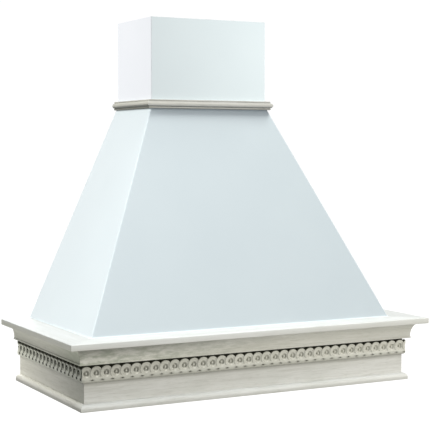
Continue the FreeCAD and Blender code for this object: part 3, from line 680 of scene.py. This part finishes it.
def expanded_metal(x0, x1, y0, y1, nx, ny):
    """Sheet cut and drawn open to diamonds, with every strand tilted the same way."""
    w, h = (x1 - x0) / nx / 2, (y1 - y0) / ny / 2
    bm = bmesh.new()
    knots = {}

    def knot(i, j):
        if (i, j) not in knots:
            knots[i, j] = bm.verts.new((x0 + i * w, y0 + j * h, 37.68))
        return knots[i, j]

    for i in range(2 * nx + 1):
        for j in range(2 * ny + 1):
            if (i + j) % 2:
                continue
            rim = [knot(i + 1, j), knot(i, j + 1), knot(i - 1, j), knot(i, j - 1)]
            hole = [bm.verts.new((x0 + (i + 0.72 * a) * w, y0 + (j + 0.66 * b) * h, z)) for a, b, z in ((1, 0, 37.68), (0, 1, 37.30), (-1, 0, 37.68), (0, -1, 38.05))]
            for k in range(4):
                m = (k + 1) % 4
                bm.faces.new((rim[k], rim[m], hole[m], hole[k]))
    for co, no in (((x0, 0, 0), (-1, 0, 0)), ((x1, 0, 0), (1, 0, 0)), ((0, y0, 0), (0, -1, 0)), ((0, y1, 0), (0, 1, 0))):
        bmesh.ops.bisect_plane(bm, geom=bm.verts[:] + bm.edges[:] + bm.faces[:], dist=1e-4, plane_co=co, plane_no=no, clear_outer=True)
    bm.verts.index_update()
    verts, faces = [tuple(v.co) for v in bm.verts], [tuple(v.index for v in f.verts) for f in bm.faces]
    bm.free()
    return thicken(verts, faces, 0.7)


def crimped_sheet(x0, x1, y0, y1, nx, ny):
    """Close, wavy knitted layer behind the diamonds."""
    verts, faces = [], []
    for j in range(ny + 1):
        for i in range(nx + 1):
            x, y = x0 + (x1 - x0) * i / nx, y0 + (y1 - y0) * j / ny
            verts.append((x, y, 39.9 + 0.34 * math.sin(2 * math.pi * (x / 9.7 + y / 23.0)) + 0.26 * math.sin(2 * math.pi * (y / 8.3 - x / 31.0))))
    for j in range(ny):
        for i in range(nx):
            a = j * (nx + 1) + i
            faces.append((a, a + 1, a + nx + 2, a + nx + 1))
    return thicken(verts, faces, 0.5)


BAR = fillet([(0, 42.0), (0, 34.0), (9.6, 34.0), (11.0, 35.5), (16.4, 35.8), (16.4, 37.0), (14.0, 37.1), (14.0, 42.0)], [0.8, 1.3, 0.5, 0.4, 0.4, 0.2, 0, 0.6], 3)


def filter_frame(tag, fx):
    """Four folded bars, mitred at the corners, with the rear pegs and the guides for the latch."""
    xa, xb, ya, yb, g = fx - 159.0, fx + 159.0, -297.0, -49.0, 0.08
    bars = [stack([[(xa + u + g, ya + u, z) for u, z in BAR], [(xb - u - g, ya + u, z) for u, z in BAR]]),
            stack([[(xa + u + g, yb - u, z) for u, z in BAR], [(xb - u - g, yb - u, z) for u, z in BAR]]),
            stack([[(xa + u, ya + u + g, z) for u, z in BAR], [(xa + u, yb - u - g, z) for u, z in BAR]]),
            stack([[(xb - u, ya + u + g, z) for u, z in BAR], [(xb - u, yb - u - g, z) for u, z in BAR]])]
    for x, sx in ((xa, -1), (xb, 1)):
        bars.append(spin([(0, -2.9), (2.0, -2.9), (2.0, 2.6), (1.6, 3.1), (0, 3.1)], 20, lambda a, b, h, x=x, sx=sx: (x + sx * h, -50.5 + a, 38.0 + b)))
    for x0, x1 in ((fx - 27.0, fx - 21.3), (fx + 21.3, fx + 27.0)):
        bars.append(stack([level(rect(x0, x1, -295.0, -284.0, 0.9), 34.2), level(rect(x0, x1, -295.0, -284.0, 0.9), 30.7),
                           level(rect(x0 + 0.2, x1 - 0.2, -294.8, -284.2, 0.8), 30.2), level(rect(x0 + 0.7, x1 - 0.7, -294.3, -284.7, 0.5), 30.0)]))
    return join(f"filter_{tag}_frame_v", *bars)


def latch(tag, fx):
    """A flat slide with a ribbed finger grip under it."""
    slide = stack([level(rect(fx - 21.0, fx + 21.0, -296.4, -289.6, 1.0), 33.7), level(rect(fx - 21.0, fx + 21.0, -296.4, -289.6, 1.0), 31.3),
                   level(rect(fx - 20.5, fx + 20.5, -295.9, -290.1, 0.8), 30.8)])
    steps = [(-12.0, 30.2), (-11.4, 29.2), (-10.2, 28.3), (-9.6, 28.0)]
    for k in range(7):
        x = -9.0 + 3.0 * k
        steps += [(x, 28.0), (x + 0.35, 28.7), (x + 1.1, 28.7), (x + 1.45, 28.0)] if k < 6 else []
    steps += [(9.6, 28.0), (10.2, 28.3), (11.4, 29.2), (12.0, 30.2)]
    grip = stack([[(fx + x, -293.0 + a, z) for a, z in fillet([(-2.4, 31.0), (-2.4, low), (2.4, low), (2.4, 31.0)], [0, 0.35, 0.35, 0], 2)] for x, low in steps])
    return join(f"filter_{tag}_latch_v", slide, grip)


def lamp_body(tag, cx):
    fins = []
    for k in range(5):
        z = 66.0 - 5.0 * k
        fins += [(30.6, z), (30.6, z - 1.6), (28.2, z - 1.9), (28.2, z - 4.2)]
    profile = ([(0, 71.5), (27.6, 71.5), (30.6, 69.0)] + fins + [(30.6, 41.0), (30.6, 40.0), (35.6, 40.0), (36.0, 39.5)] + arc(34.4, 39.1, 1.6, 1.6, 0, -90, 5) + [(32.6, 37.5), (31.9, 37.9), (31.2, 38.3), (30.2, 38.3), (29.6, 37.9), (28.6, 37.75), (28.0, 38.2),
               (28.0, 40.5), (26.0, 40.5)] + [(26.0 - 16.0 * t * t, 40.5 + 23.0 * t) for t in (0.2, 0.4, 0.6, 0.8, 1.0)] + [(0, 63.5)])
    return join(f"lamp_{tag}_body_v", spin(profile, 64, upright(cx, -343.0)))


def lamp_lens(tag, cx):
    profile = [(0, 38.10)] + [(0.5 * k, 38.12 + 0.16 * (1 - math.cos(2 * math.pi * k / 5)) + 0.004 * k) for k in range(1, 51)] + [(25.8, 38.25), (26.6, 38.02), (27.3, 38.08), (27.85, 38.6), (27.85, 40.5), (0, 40.5)]
    return join(f"lamp_{tag}_lens_v", spin(profile, 64, upright(cx, -343.0)))


def key(node, cx, marks):
    """A dished push button; marks are raised beads in the dish as (along, across, radius)."""
    rings = []
    for inset, z in ((0, 54.0), (0, 36.3), (0.16, 35.7), (0.5, 35.25), (1.0, 35.02), (1.9, 35.0), (2.4, 35.12), (3.0, 35.45), (3.8, 35.62), (5.0, 35.68)):
        rings.append(level(rect(cx - 11 + inset, cx + 11 - inset, -350 + inset, -336 - inset, max(1.8 - 0.3 * inset, 0.5)), z))
    beads = [spin([(0, z0), (r, z0), (r, 35.5), (r * 0.86, 35.24), (r * 0.5, 35.1), (0, 35.06)], 20, upright(cx + a, -343.0 + b)) for a, b, r, z0 in ((*m, 36.2) for m in marks)]
    return join(node + "_v", stack(rings), *beads)


def ring_mark(cx, r0, r1):
    return spin([(r0, 36.2), (r1, 36.2), (r1, 35.4), (r1 - 0.25, 35.15), (r0 + 0.25, 35.15), (r0, 35.4)], 32, upright(cx, -343.0), True)


def switch_box():
    bezel = stack([level(rect(-85, 85, -361, -325, 4.0), 40.0), level(rect(-85, 85, -361, -325, 4.0), 39.4), level(rect(-84.7, 84.7, -360.7, -325.3, 3.8), 38.9), level(rect(-84.1, 84.1, -360.1, -325.9, 3.4), 38.5)])
    o = join("switch_box_v", bezel)
    boolean(o, join("case", stack([level(rect(-79, 79, -356, -330, 1.5), 39.2), level(rect(-79, 79, -356, -330, 1.5), 65.2), level(rect(-78.2, 78.2, -355.2, -330.8, 1.0), 66.0)])), "UNION")
    pocket = []
    for cx in (-60, -30, 0, 30, 60):
        half = ((13.0, 9.0, 37.8), (12.3, 8.3, 38.5), (11.3, 7.3, 39.3), (11.3, 7.3, 62.0))
        pocket.append(stack([level(rect(cx - a, cx + a, -343 - b, -343 + b, 1.6), z) for a, b, z in half]))
    boolean(o, join("pockets", *pocket), "DIFFERENCE")
    mark(o.data)
    return o


def screw_shell(length, r, head_r, head_h):
    """A pan-head screw along +Z from its head's flat: cross recess, thread and point."""
    profile = [(0, -head_h)] + [(head_r * math.sin(t), -0.5 - (head_h - 0.5) * math.cos(t)) for t in (math.pi / 12 * k for k in range(1, 7))] + [(head_r, 0.0), (r, 0.0)]
    h = 0.6
    while h + 1.2 < length - 2.0:
        profile += [(0.78 * r, h), (r, h + 0.35), (r, h + 0.50), (0.78 * r, h + 0.85)]
        h += 1.2
    profile += [(0.78 * r, length - 1.8), (0, length)] if length > 6 else [(r, length - 0.4), (0.7 * r, length), (0, length)]
    o = join("screw", spin(profile, 16, lambda a, b, z: (a, b, z)))
    a, reach = 0.16 * head_r, 0.58 * head_r
    plus = [(a, a), (a, reach), (-a, reach), (-a, a), (-reach, a), (-reach, -a), (-a, -a), (-a, -reach), (a, -reach), (a, -a), (reach, -a), (reach, a)]
    boolean(o, join("cross", stack([level(plus, -head_h - 1.0), level(plus, -0.9)])), "DIFFERENCE")
    shell = [v.co / MM for v in o.data.vertices], [tuple(f.vertices) for f in o.data.polygons]
    used = o.data
    bpy.data.objects.remove(o)
    bpy.data.meshes.remove(used)
    return shell


def screws(node, body, places):
    kinds, shells = {}, []
    for k, (at, along, *size) in enumerate(places):
        size = tuple(size)
        if size not in kinds:
            kinds[size] = screw_shell(*size)
        vs, fs = kinds[size]
        turn = Vector((0, 0, 1)).rotation_difference(Vector(along)).to_matrix() @ Matrix.Rotation(math.radians(37.0 * k), 3, "Z")
        shells.append(([tuple(turn @ v + Vector(at)) for v in vs], fs))
    return fit_out(join(node + "_v", *shells), node, body)


for tag, fx in (("left", -172.0), ("right", 172.0)):
    fit_out(filter_frame(tag, fx), f"filter_{tag}_frame", f"filter_{tag}")
    fit_out(join(f"filter_{tag}_mesh_v", expanded_metal(fx - 145.0, fx + 145.0, -283.0, -63.0, 24, 31)), f"filter_{tag}_mesh", f"filter_{tag}")
    dress(join(f"filter_{tag}_backing_v", crimped_sheet(fx - 144.8, fx + 144.8, -282.8, -63.2, 120, 104)), ALU_BACK, "filter_aluminium", f"filter_{tag}")
    fit_out(latch(tag, fx), f"filter_{tag}_latch", f"latch_{tag}")
for tag, cx in (("left", -262.0), ("right", 262.0)):
    fit_out(lamp_body(tag, cx), f"lamp_{tag}_body", "hood")
    fit_out(lamp_lens(tag, cx), f"lamp_{tag}_lens", "hood")
fit_out(switch_box(), "switch_box", "hood")
SUN_RAYS = [(0.0, 0.0, 1.15)] + [(2.35 * math.cos(math.pi / 4 * k), 2.35 * math.sin(math.pi / 4 * k), 0.36) for k in range(8)]
for name, cx, marks in (("light", -60.0, SUN_RAYS), ("off", -30.0, []), ("speed_1", 0.0, [(0, 0, 0.9)]), ("speed_2", 30.0, [(-1.7, 0, 0.9), (1.7, 0, 0.9)]), ("speed_3", 60.0, [(-3.2, 0, 0.9), (0, 0, 0.9), (3.2, 0, 0.9)])):
    o = key("button_" + name, cx, marks)
    if name == "off":
        boolean(o, join("ring", ring_mark(cx, 1.5, 2.3)), "UNION")
        mark(o.data)
    fit_out(o, "button_" + name, "key_" + name)
both = (-1, 1)
screws("frame_screws", "hood", [p for sx in both for p in (
    *(((sx * 363.0, -379.0, z), (sx, 0, 0), 36.0, 1.75, 3.6, 2.2) for z in (70.0, 108.0)), *(((sx * 379.0, -363.0, z), (0, -1, 0), 36.0, 1.75, 3.6, 2.2) for z in (56.0, 94.0)),
    *(((sx * 363.0, -28.0, z), (sx, 0, 0), 36.0, 1.75, 3.6, 2.2) for z in (70.0, 108.0)), ((sx * 375.0, -44.0, 66.0), (0, 1, 0), 38.0, 1.75, 3.6, 2.2))])
screws("sheet_screws", "hood", [((x, -373.0, 150.0), (0, 0, -1), 11.0, 1.75, 3.6, 2.2) for x in (-300.0, -100.0, 100.0, 300.0)]
       + [((sx * 369.0, y, 150.0), (0, 0, -1), 11.0, 1.75, 3.6, 2.2) for sx in both for y in (-290.0, -170.0, -50.0)]
       + [((sx * 375.0, y, 40.0), (0, 0, 1), 16.0, 1.75, 3.6, 2.2) for sx in both for y in (-375.0, -32.0)]
       + [((sx * 40.0, -3.0, z), (0, 1, 0), 2.9, 1.75, 3.6, 2.0) for sx in both for z in (414.0, 526.0)])
screws("chimney_screws", "chimney", [((sx * 143.0, -4.7, 827.0), (0, 1, 0), 2.7, 1.6, 3.2, 1.8) for sx in both])


# ------------------------------------------------------------------ rear
def drum(r, x, z, y0, y1):
    return spin([(0, y0), (r, y0), (r, y1), (0, y1)], 28, lambda a, b, h: (x + a, h, z + b))


def swage(x0, z0, x1, z1, w=9.0):
    """A long round-ended body that leaves a shallow pressed rib in the rear face when it is cut out."""
    a, b = Vector((x0, z0)), Vector((x1, z1))
    along, mid = (b - a).normalized(), (a + b) / 2
    half = (b - a).length / 2
    ends = [(w * math.cos(math.pi / 12 * k), half + w * math.sin(math.pi / 12 * k)) for k in range(6)]
    profile = [(0, -half - w)] + [(r, -h) for r, h in reversed(ends)] + ends + [(0, half + w)]
    return spin(profile, 28, lambda u, v, h: (mid.x + along.x * h - along.y * u, 1.6 + v * 2.5 / w, mid.y + along.y * h + along.x * u))


plate = [(-359, 135.5), (359, 135.5), (359, 148.5), (378.35, 148.5), (153.35, 640), (-153.35, 640), (-378.35, 148.5), (-359, 148.5)]
o = join("canopy_back_plate_v", stack([[(x, 0.0, z) for x, z in plate], [(x, -1.5, z) for x, z in plate]]))
ribs = [swage(-262, 186, 262, 186), swage(-108, 600, 108, 600), swage(-150, 330, 150, 330), swage(-96, 470, 96, 470)]
ribs += [swage(sx * 316, 196, sx * 150, 560) for sx in both]
boolean(o, join("ribs", *ribs, *(drum(4.0, sx * 160.0, 470.0, -6, 6) for sx in both)), "DIFFERENCE")
mark(o.data, 11.0)
fit_out(o, "canopy_back_plate", "hood")

o = join("rear_rail_v", stack([[(x, y, z) for y, z in rect(-20, 0, 0, 135.5, 1.2, 3)] for x in (-387.0, 387.0)]))
boolean(o, join("screw_holes", *(drum(3.0, sx * 300.0, 62.0, -25, 5) for sx in both)), "DIFFERENCE")
mark(o.data)
fit_out(o, "rear_rail", "hood")

# ------------------------------------------------------------------ camera, floor, light
cam = bpy.data.cameras.new("camera")
cam.lens, cam.sensor_width, cam.sensor_fit = 104.62, 36.0, "HORIZONTAL"
cam.clip_start, cam.clip_end = 0.05, 100.0
cam_o = bpy.data.objects.new("camera", cam)
cam_o.location = (-1.36412, -2.81141, 0.54534)
cam_o.rotation_euler = (math.radians(90.0 - 3.0), 0.0, math.radians(-27.77))
SC.collection.objects.link(cam_o)
SC.camera = cam_o

fm = bpy.data.meshes.new("floor")
fm.from_pydata([(40 * math.cos(math.pi * k / 24), 40 * math.sin(math.pi * k / 24), -4.6) for k in range(48)], [], [tuple(range(48))])
floor = bpy.data.objects.new("floor", fm)
SC.collection.objects.link(floor)
m, nt, b = material("pale_floor")
v = coords(nt)
n = noise(nt, v, 3.0, 3.0)
flat = nt.nodes.new("ShaderNodeSeparateXYZ")
put(nt, flat.inputs[0], v)
away = remap(nt, hypot(nt, flat.outputs[0], flat.outputs[1]), 3.0, 17.0, 0.0, 1.0, True)
c = mix(nt, remap(nt, n, 0.3, 0.7), (0.822, 0.822, 0.815), (0.828, 0.828, 0.82))
put(nt, b.inputs["Base Color"], mix(nt, away, mix(nt, 1.0, c, (0.62, 0.625, 0.635), "MULTIPLY"), c))  # painted shadow: greyer under the hood
b.inputs["Roughness"].default_value = 0.7
fm.materials.append(m)
floor.visible_diffuse = floor.visible_glossy = floor.visible_shadow = False  # the floor is far below and sends no light back
floor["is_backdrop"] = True

world = bpy.data.worlds.new("studio")
SC.world = world
world.use_nodes = True
wt = world.node_tree
bg = wt.nodes["Background"]
lp = wt.nodes.new("ShaderNodeLightPath")
put(wt, bg.inputs["Color"], (1.0, 1.0, 1.0))
AMBIENT, REFLECTED, BACKDROP = 0.20, 0.75, 1.02
level = remap(wt, lp.outputs["Is Glossy Ray"], 0.0, 1.0, AMBIENT, REFLECTED)
put(wt, bg.inputs["Strength"], remap(wt, lp.outputs["Is Camera Ray"], 0.0, 1.0, level, BACKDROP))


def area(name, loc, target, size, power, colour=(1, 1, 1), receivers=None):
    li = bpy.data.lights.new(name, "AREA")
    li.shape, li.size, li.size_y = "RECTANGLE", size[0], size[1]
    li.energy, li.color = power, colour
    o = bpy.data.objects.new(name, li)
    o.location = loc
    o.rotation_euler = (Vector(target) - Vector(loc)).to_track_quat("-Z", "Y").to_euler()
    o.visible_camera = False
    SC.collection.objects.link(o)
    if receivers is not None:
        o.light_linking.receiver_collection = receivers
    return o


GROUPS = {k: bpy.data.collections.new(k) for k in ("lit_wood", "lit_collar", "lit_side", "lit_base", "lit_eaves", "lit_canopy", "lit_chimney", "lit_rest", "lit_back", "lit_floor")}
GROUPS["lit_floor"].objects.link(floor)
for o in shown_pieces():
    mat = o.data.materials[0]
    key = "lit_collar" if mat in (COLLAR_X, COLLAR_Y) else "lit_wood" if mat in WOODS else "lit_chimney" if o.name == "chimney_cover_v" else "lit_canopy" if mat is PAINT else "lit_rest"
    GROUPS[key].objects.link(o)
    if key != "lit_rest":
        GROUPS["lit_back"].objects.link(o)
    if mat in (FRIEZE_Y, CARVED_Y):
        GROUPS["lit_side"].objects.link(o)
    if mat is BASE_Y:
        GROUPS["lit_base"].objects.link(o)
    if mat in (LEDGE_Y, SHADED_LEDGE_RIGHT, COVE_Y):
        GROUPS["lit_eaves"].objects.link(o)

LIGHTS = [
    ("wood_key", (-0.48, -2.03, 4.74), (0, -0.25, 0.1), 2.4, 168.0, (0.92, 1.0, 1.09), "lit_wood"),
    ("wood_over", (0.0, -0.42, 5.1), (0, -0.25, 0.1), 2.4, 116.0, (0.99, 1, 1.02), "lit_wood"),
    ("wood_right", (2.37, -2.24, 0.93), (0, -0.3, 0.1), 1.5, 66.0, (1.03, 1, 0.95), "lit_wood"),
    ("wood_low", (0.0, -3.42, -1.38), (0, -0.3, 0.1), 1.7, 24.0, (1.02, 1.0, 0.90), "lit_wood"),
    ("wood_rear", (-2.17, 1.27, 4.34), (-0.2, -0.25, 0.1), 2.4, 40.0, (1, 1, 1), "lit_wood"),
    ("wood_wall_low", (-0.70, 0.14, 0.05), (-0.42, -0.02, 0.05), 0.25, 1.0, (1.0, 0.985, 0.94), "lit_side"),
    ("wood_base", (-0.75, 0.15, 0.55), (-0.41, -0.1, 0.01), 0.3, 3.3, (1.02, 1.0, 0.96), "lit_base"),
    ("wood_eaves", (-1.5, 0.2, -1.2), (-0.43, -0.2, 0.12), 0.8, 15.0, (1.0, 1.0, 0.86), "lit_eaves"),
    ("collar_front", (0.3, -2.6, 2.25), (0, -0.2, 0.65), 1.0, 72.0, (1.02, 1, 0.93), "lit_collar"),
    ("collar_left", (-2.6, -0.3, 2.4), (0, -0.2, 0.65), 1.0, 62.0, (1.02, 1, 0.93), "lit_collar"),
    ("collar_right", (2.5, -0.2, 2.4), (0, -0.2, 0.65), 1.0, 40.0, (1, 1, 0.95), "lit_collar"),
    ("canopy_top", (2.4, -0.45, 6.0), (0, -0.25, 0.4), 2.2, 474.0, (1, 0.995, 0.98), "lit_canopy"),
    ("canopy_left", (-2.6, -0.4, 1.7), (0, -0.2, 0.65), 1.8, 76.0, (1.02, 1, 1), "lit_canopy"),
    ("canopy_front", (-0.4, -3.4, 0.9), (0, -0.2, 0.4), 2.0, 16.0, (0.95, 1.03, 1.18), "lit_canopy"),
    ("chimney_front", (1.3, -2.05, 1.35), (0, -0.1, 0.75), 0.9, 58.0, (1.01, 1, 0.99), "lit_chimney"),
    ("chimney_left", (-2.2, 0.2, 1.2), (0, -0.1, 0.75), 1.2, 51.0, (1.04, 0.94, 0.96), "lit_chimney"),
    ("rest_top", (-0.8, -1.4, 3.4), (0, -0.2, 0.4), 2.0, 90.0, (1, 1, 1), "lit_rest"),
    ("rest_below", (-0.5, -2.2, -1.6), (0, -0.2, 0.05), 3.4, 30.0, (1, 1, 1), "lit_rest"),
    ("back", (0.7, 3.6, 0.35), (0, 0.0, 0.4), 2.0, 70.0, (1, 1, 1), "lit_back"),
    ("rest_rear", (0.8, 3.2, 1.7), (0, 0.0, 0.4), 3.0, 66.0, (1, 1, 1), "lit_rest"),
]
for name, loc, target, size, power, colour, group in LIGHTS:
    o = area(name, loc, target, (size, size), power, colour, GROUPS[group])
    if group in ("lit_canopy", "lit_chimney"):
        o.visible_glossy = False  # the paint mirrors the room and not the lamps
sun = bpy.data.lights.new("floor_light", "SUN")
sun.energy, sun.use_shadow = 3.9, False
sun_o = bpy.data.objects.new("floor_light", sun)
sun_o.location = (0.0, 0.0, 8.0)
SC.collection.objects.link(sun_o)
sun_o.light_linking.receiver_collection = GROUPS["lit_floor"]

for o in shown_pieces():
    if o.name.startswith("ledge_"):
        o.visible_diffuse = False  # keeps the bright ledge from lighting the foot of the canopy

SC.view_settings.view_transform = "Standard"
SC.view_settings.look = "None"
